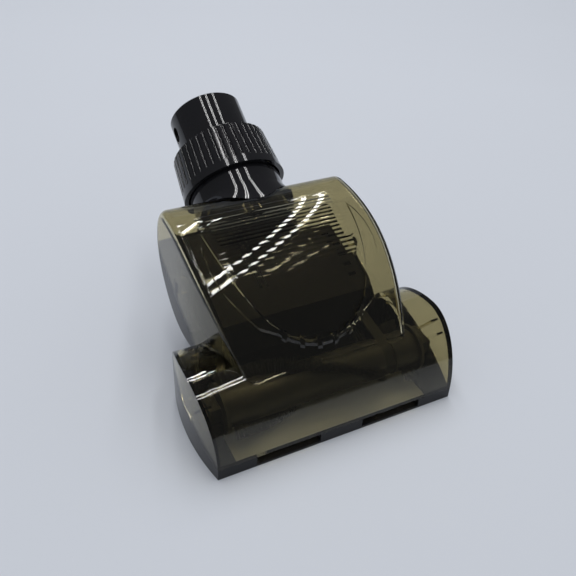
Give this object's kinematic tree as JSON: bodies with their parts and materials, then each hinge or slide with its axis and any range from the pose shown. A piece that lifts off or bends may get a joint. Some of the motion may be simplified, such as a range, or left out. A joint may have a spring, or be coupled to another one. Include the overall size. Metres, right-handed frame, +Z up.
{
  "type": "vacuum turbo brush",
  "caption": "Air-driven mini floor brush: smoked clear cover over a black base, bristle roller behind the front lip, turbine and belt in the hump, and a leaning neck with a fluted ring.",
  "frame": {"origin": "centre of the footprint, on the floor", "axes": "+Z up, +Y from the front lip to the neck, X across the brush, which is the same on both sides"},
  "size_m": [0.1264, 0.1722, 0.1073],
  "materials": {
    "smoked_cover": "clear smoked plastic, glossy",
    "black_housing": "satin moulded black",
    "black_duct": "moulded black",
    "felt": "short felt",
    "roller_plastic": "moulded dark grey",
    "bristle": "nylon bristle",
    "steel": "turned",
    "bronze": "sintered",
    "block_rubber": "matte",
    "belt_rubber": "matte",
    "turbine_plastic": "moulded dark grey",
    "gloss_neck": "polished black",
    "ring_plastic": "satin black",
    "wheel_plastic": "moulded black"
  },
  "bodies": {
    "housing": {"top_cover": "smoked_cover", "base": "black_housing", "duct_tray": "black_duct", "duct_roof": "black_duct", "lint_strip": "felt", "bearing_block_left": "block_rubber", "bearing_block_right": "block_rubber", "roller_bush_left": "bronze", "roller_bush_right": "bronze", "turbine_bearing_left": "bronze", "turbine_bearing_right": "bronze", "drive_belt": "belt_rubber", "neck": "gloss_neck", "neck_seal": "belt_rubber", "wheel_pins": "steel", "cover_screws": "steel"},
    "roller": {"roller_core": "roller_plastic", "bristle_row_a_long": "bristle", "bristle_row_a_short": "bristle", "bristle_row_b_long": "bristle", "bristle_row_b_short": "bristle", "end_disc_left": "roller_plastic", "end_disc_right": "roller_plastic", "roller_axle": "steel"},
    "turbine": {"turbine_wheel": "turbine_plastic", "turbine_shaft": "steel", "turbine_pulley": "bronze"},
    "socket": {"tube_socket": "gloss_neck"},
    "ring": {"grip_ring": "ring_plastic"},
    "wheel_left": {"rear_wheel_left": "wheel_plastic"},
    "wheel_right": {"rear_wheel_right": "wheel_plastic"}
  },
  "joints": [
    {"name": "roller_spin", "type": "hinge", "parent": "housing", "child": "roller", "pos_m": [0, -0.06315, 0.017], "axis": [1, 0, 0], "continuous": true},
    {"name": "turbine_spin", "type": "hinge", "parent": "housing", "child": "turbine", "pos_m": [0, -0.01615, 0.027], "axis": [1, 0, 0], "continuous": true},
    {"name": "socket_swivel", "type": "hinge", "parent": "housing", "child": "socket", "pos_m": [0, 0.03525, 0.0655], "axis": [0, 0.848, 0.5299], "continuous": true},
    {"name": "ring_turn", "type": "hinge", "parent": "socket", "child": "ring", "pos_m": [0, 0.03525, 0.0655], "axis": [0, 0.848, 0.5299], "range_deg": [0, 45]},
    {"name": "wheel_left_spin", "type": "hinge", "parent": "housing", "child": "wheel_left", "pos_m": [-0.033, 0.00485, 0.0048], "axis": [1, 0, 0], "continuous": true},
    {"name": "wheel_right_spin", "type": "hinge", "parent": "housing", "child": "wheel_right", "pos_m": [0.033, 0.00485, 0.0048], "axis": [1, 0, 0], "continuous": true}
  ],
  "couplings": [
    {"joint": "roller_spin", "follows": "turbine_spin", "ratio": 0.73333}
  ]
}
